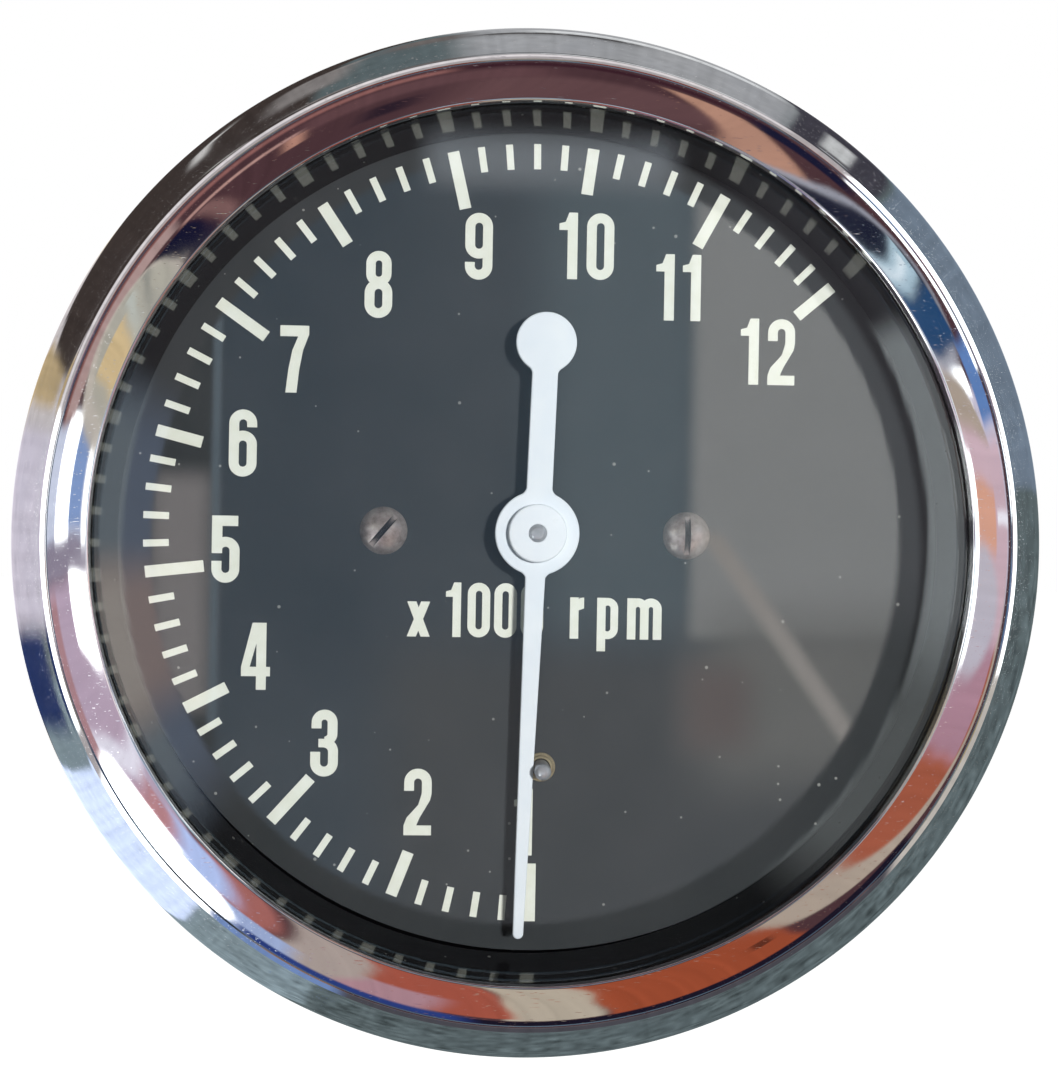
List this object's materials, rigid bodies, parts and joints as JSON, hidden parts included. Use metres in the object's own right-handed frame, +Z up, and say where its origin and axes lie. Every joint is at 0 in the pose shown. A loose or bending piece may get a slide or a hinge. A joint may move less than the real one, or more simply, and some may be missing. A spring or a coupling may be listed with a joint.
{
  "type": "motorcycle tachometer",
  "caption": "Round dial tachometer in a black case with a chromed bezel, white needle, threaded cable spigot and studs at the back.",
  "frame": {"origin": "middle of the rear mounting face, half way between the two studs, on the axis of the needle, the drive spindle and the cable spigot", "axes": "+Z up towards 12 o'clock, -Y out of the dial towards the rider, +X to the right seen from the front"},
  "size_m": [0.087, 0.0689, 0.087],
  "materials": {
    "case_paint": "satin black enamel on drawn steel",
    "bezel_chrome": "polished chrome plate on drawn brass",
    "clear_glass": "flat float glass",
    "black_rubber": "moulded rubber",
    "gloss_black": "gloss black enamel",
    "dial_black": "matt black enamel with faint dust",
    "cream_ink": "screen-printed cream ink",
    "nickel_screw": "dull nickel plate",
    "bright_steel": "turned steel",
    "eyelet_brass": "aged rolled brass",
    "needle_white": "satin white enamel",
    "hub_white": "satin white enamel on a turned boss",
    "cup_aluminium": "spun aluminium",
    "turned_brass": "turned and stamped brass",
    "blued_spring": "tempered spring strip",
    "plated_steel": "zinc plate",
    "sintered_bronze": "oil-filled sintered bronze",
    "cast_magnet": "cast alnico",
    "die_cast": "die-cast alloy",
    "soft_iron": "soft iron",
    "oiled_felt": "oiled felt",
    "fibre_gasket": "pressed fibre",
    "nickel_spigot": "nickel plate",
    "zinc_studs": "yellow passivated zinc plate",
    "zinc_screws": "zinc plate"
  },
  "bodies": {
    "instrument": {"case_shell": "case_paint", "bezel_ring": "bezel_chrome", "front_glass": "clear_glass", "glass_seal": "black_rubber", "inner_ring": "gloss_black", "flange_seal": "black_rubber", "dial_plate": "dial_black", "dial_marks": "cream_ink", "dial_screws": "nickel_screw", "stop_pin": "bright_steel", "stop_pin_eyelet": "eyelet_brass", "hairspring": "blued_spring", "hairspring_stud": "turned_brass", "zero_arm": "plated_steel", "upper_bridge": "turned_brass", "upper_bush": "turned_brass", "bridge_screws": "plated_steel", "dial_posts": "plated_steel", "thrust_washer": "sintered_bronze", "oil_seal": "oiled_felt", "movement_frame": "die_cast", "frame_gasket": "fibre_gasket", "cable_spigot": "nickel_spigot", "spindle_bush": "sintered_bronze", "spigot_seal": "black_rubber", "mounting_studs": "zinc_studs", "stud_washers": "zinc_studs", "rear_screws": "zinc_screws", "rear_washers": "zinc_screws"},
    "pointer": {"needle": "needle_white", "needle_hub": "hub_white", "needle_shaft": "bright_steel", "drag_cup": "cup_aluminium", "cup_hub": "turned_brass", "hairspring_collet": "turned_brass"},
    "drive": {"drive_spindle": "bright_steel", "magnet": "cast_magnet", "magnet_hub": "die_cast", "field_ring": "soft_iron", "pivot_bush": "sintered_bronze", "spindle_clip": "plated_steel"}
  },
  "joints": [
    {"name": "pointer_swing", "type": "hinge", "parent": "instrument", "child": "pointer", "pos_m": [0, -0.03, 0], "axis": [0, 1, 0], "range_deg": [0, 232], "stiffness_Nm_per_rad": 0.00003, "springref_deg": -11.46, "deforming": ["hairspring"]},
    {"name": "drive_spin", "type": "hinge", "parent": "instrument", "child": "drive", "pos_m": [0, -0.012, 0], "axis": [0, 1, 0], "continuous": true}
  ]
}
